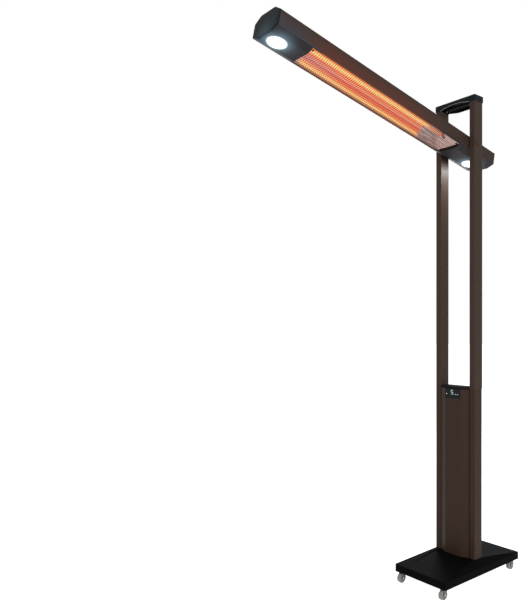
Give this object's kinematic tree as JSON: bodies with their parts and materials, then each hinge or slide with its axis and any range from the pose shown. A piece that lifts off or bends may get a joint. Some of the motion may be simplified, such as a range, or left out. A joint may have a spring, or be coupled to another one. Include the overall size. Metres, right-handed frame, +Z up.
{
  "type": "infrared patio heater tower",
  "caption": "Slim free-standing infrared patio heater: a tilting lamp head between twin upper posts, on a faceted column with a display and a castor base.",
  "frame": {"origin": "on the floor, under the middle of the column", "axes": "+Z up; +X across the column; the display side faces -Y, where the raised head's long end points"},
  "size_m": [0.258, 1.2254, 2.0278],
  "materials": {
    "bronze_paint": "satin bronze-brown powder coat",
    "black_paint": "satin black powder coat",
    "zinc_steel": "zinc plated",
    "bare_aluminium": "mill finish",
    "reflector_metal": "polished",
    "guard_wire": "heat-darkened stainless",
    "black_plastic": "fine-textured black",
    "display_gloss": "gloss black",
    "circuit_board": "green board",
    "white_plastic": "moulded white",
    "cable_rubber": "matt black",
    "quartz": "clear quartz, lit red",
    "filament_metal": "glowing",
    "ceramic": "unglazed",
    "light_lens": "frosted, lit white",
    "bush_brass": "machined",
    "grey_nylon": "grey nylon",
    "wheel_rubber": "grey translucent tread"
  },
  "bodies": {
    "stand": {"ballast_plate": "black_paint", "base_cover": "black_paint", "cable_gland": "black_plastic", "caster_plates": "zinc_steel", "column_back_panel": "bronze_paint", "column_cap": "black_plastic", "column_front_panel": "bronze_paint", "column_loom": "cable_rubber", "column_pedestal": "zinc_steel", "column_spine": "zinc_steel", "control_board": "circuit_board", "display_board": "black_plastic", "display_window": "display_gloss", "foot_bolts": "zinc_steel", "lower_post_left": "bronze_paint", "lower_post_right": "bronze_paint", "m4_screws": "zinc_steel", "pivot_bolts": "zinc_steel", "pivot_caps": "black_plastic", "pivot_nuts": "zinc_steel", "post_plugs": "bare_aluminium", "post_screws": "zinc_steel", "post_spigots": "bare_aluminium", "terminal_block": "white_plastic", "tilt_switch": "black_plastic", "top_cap": "black_plastic", "top_crossbar": "black_paint", "upper_post_left": "bronze_paint", "upper_post_right": "bronze_paint"},
    "head": {"head_back_shell": "bronze_paint", "head_face": "bronze_paint", "guard_grille": "guard_wire", "reflector": "reflector_metal", "reflector_ends": "reflector_metal", "heat_shield": "bare_aluminium", "lamp_tube": "quartz", "lamp_filament": "filament_metal", "lamp_holders": "ceramic", "light_lenses": "light_lens", "light_bezels": "black_plastic", "light_boards": "bare_aluminium", "end_cap_long": "black_plastic", "end_cap_short": "black_plastic", "end_cap_screws": "zinc_steel", "pivot_bushes": "bush_brass", "friction_washers": "black_plastic", "head_loom": "cable_rubber", "thermal_cutout": "ceramic"},
    "caster_front_left": {"caster_fork_fl": "grey_nylon", "caster_axle_fl": "zinc_steel"},
    "wheel_front_left": {"caster_wheel_fl": "wheel_rubber"},
    "caster_front_right": {"caster_fork_fr": "grey_nylon", "caster_axle_fr": "zinc_steel"},
    "wheel_front_right": {"caster_wheel_fr": "wheel_rubber"},
    "caster_rear_left": {"caster_fork_rl": "grey_nylon", "caster_axle_rl": "zinc_steel"},
    "wheel_rear_left": {"caster_wheel_rl": "wheel_rubber"},
    "caster_rear_right": {"caster_fork_rr": "grey_nylon", "caster_axle_rr": "zinc_steel"},
    "wheel_rear_right": {"caster_wheel_rr": "wheel_rubber"}
  },
  "joints": [
    {"name": "head_tilt", "type": "hinge", "parent": "stand", "child": "head", "pos_m": [0, 0, 1.786], "axis": [1, 0, 0], "range_deg": [0, 101.6]},
    {"name": "swivel_front_left", "type": "hinge", "parent": "stand", "child": "caster_front_left", "pos_m": [-0.107, -0.225, 0.0425], "axis": [0, 0, 1], "continuous": true},
    {"name": "roll_front_left", "type": "hinge", "parent": "caster_front_left", "child": "wheel_front_left", "pos_m": [-0.107, -0.234, 0.019], "axis": [1, 0, 0], "continuous": true},
    {"name": "swivel_front_right", "type": "hinge", "parent": "stand", "child": "caster_front_right", "pos_m": [0.107, -0.225, 0.0425], "axis": [0, 0, 1], "continuous": true},
    {"name": "roll_front_right", "type": "hinge", "parent": "caster_front_right", "child": "wheel_front_right", "pos_m": [0.107, -0.234, 0.019], "axis": [1, 0, 0], "continuous": true},
    {"name": "swivel_rear_left", "type": "hinge", "parent": "stand", "child": "caster_rear_left", "pos_m": [-0.107, 0.225, 0.0425], "axis": [0, 0, 1], "continuous": true},
    {"name": "roll_rear_left", "type": "hinge", "parent": "caster_rear_left", "child": "wheel_rear_left", "pos_m": [-0.107, 0.216, 0.019], "axis": [1, 0, 0], "continuous": true},
    {"name": "swivel_rear_right", "type": "hinge", "parent": "stand", "child": "caster_rear_right", "pos_m": [0.107, 0.225, 0.0425], "axis": [0, 0, 1], "continuous": true},
    {"name": "roll_rear_right", "type": "hinge", "parent": "caster_rear_right", "child": "wheel_rear_right", "pos_m": [0.107, 0.216, 0.019], "axis": [1, 0, 0], "continuous": true}
  ]
}
